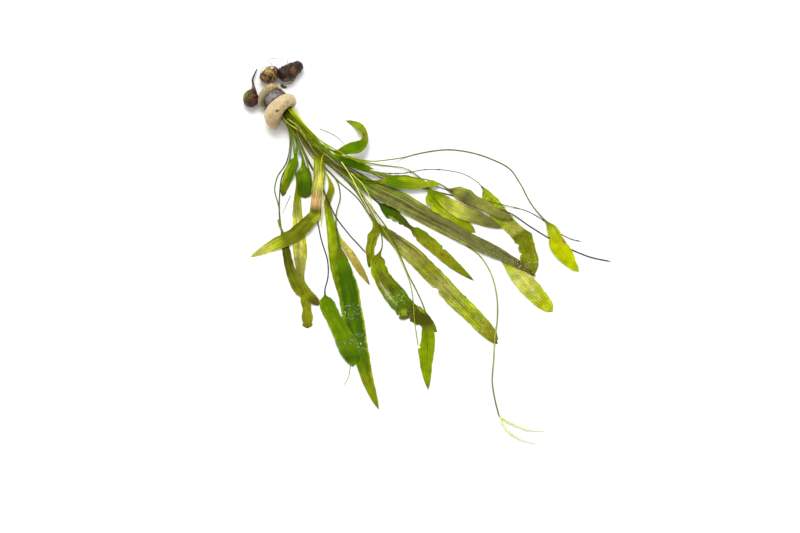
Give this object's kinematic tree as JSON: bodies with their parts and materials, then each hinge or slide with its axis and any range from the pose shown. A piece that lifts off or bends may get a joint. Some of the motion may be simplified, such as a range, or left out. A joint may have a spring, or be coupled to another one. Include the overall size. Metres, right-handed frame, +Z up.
{
  "type": "aponogeton plant",
  "caption": "Lifted aponogeton water plant lying flat: tubers, foam and lead weight round the neck, long olive and green leaves, forked flower spike.",
  "frame": {"origin": "on the table, on the flat patch under the lead weight", "axes": "+Y from the leaves towards the tubers, +X towards the arched leaf and the long bare stems, +Z up"},
  "size_m": [0.3696, 0.4222, 0.03],
  "materials": {
    "leaf_deep_green": "wet dark green leaf",
    "leaf_green": "wet green leaf",
    "leaf_yellow_green": "wet yellow-green leaf",
    "leaf_olive": "wet dark olive leaf",
    "leaf_pale_olive": "wet pale olive leaf",
    "leaf_ochre": "wet ochre leaf",
    "stem_brown": "wet dark stem",
    "flower_cream": "pale flower spike",
    "tuber_brown": "rough dark brown skin",
    "tuber_gold": "ringed golden brown skin",
    "crown_olive": "brown-olive leaf sheaths",
    "foam_cream": "cream open-cell foam",
    "lead_grey": "dull soft lead strip"
  },
  "bodies": {
    "root": {"tuber_left": "tuber_brown", "tuber_middle": "tuber_gold", "tuber_dark": "tuber_brown", "foam_wrap": "foam_cream", "weight_band": "lead_grey", "crown": "crown_olive", "leaf_left_outer": "leaf_olive", "leaf_left_inner": "leaf_pale_olive", "leaf_ochre": "leaf_ochre", "leaf_front_bright": "leaf_yellow_green", "leaf_broad_olive": "leaf_pale_olive", "leaf_nibbled": "leaf_green", "leaf_right_spoon": "leaf_yellow_green", "leaf_right_bend": "leaf_pale_olive", "stem_left": "stem_brown", "leaf_collar_round": "leaf_deep_green", "stem_dark_short": "stem_brown", "leaf_front_dark": "leaf_deep_green", "leaf_curly": "leaf_olive", "leaf_damaged": "leaf_olive", "flower_stalk": "leaf_olive", "leaf_long_strip": "leaf_pale_olive", "leaf_collar_small": "leaf_deep_green", "leaf_front_spoon": "leaf_green", "leaf_folded_yellow": "leaf_pale_olive", "leaf_hanging": "leaf_yellow_green", "stem_pale": "leaf_pale_olive", "leaf_long_olive": "leaf_olive", "stem_right_long": "stem_brown", "stem_right_short": "stem_brown", "stem_curled_pale": "leaf_pale_olive", "leaf_bright_short": "leaf_green", "leaf_glassy_lower": "leaf_pale_olive", "leaf_glassy_upper": "leaf_pale_olive", "leaf_side_green": "leaf_green", "leaf_side_dark": "leaf_deep_green", "leaf_arched": "leaf_yellow_green", "leaf_curled": "leaf_green", "flower_spike_left": "flower_cream", "flower_spike_right": "flower_cream"}
  },
  "joints": []
}
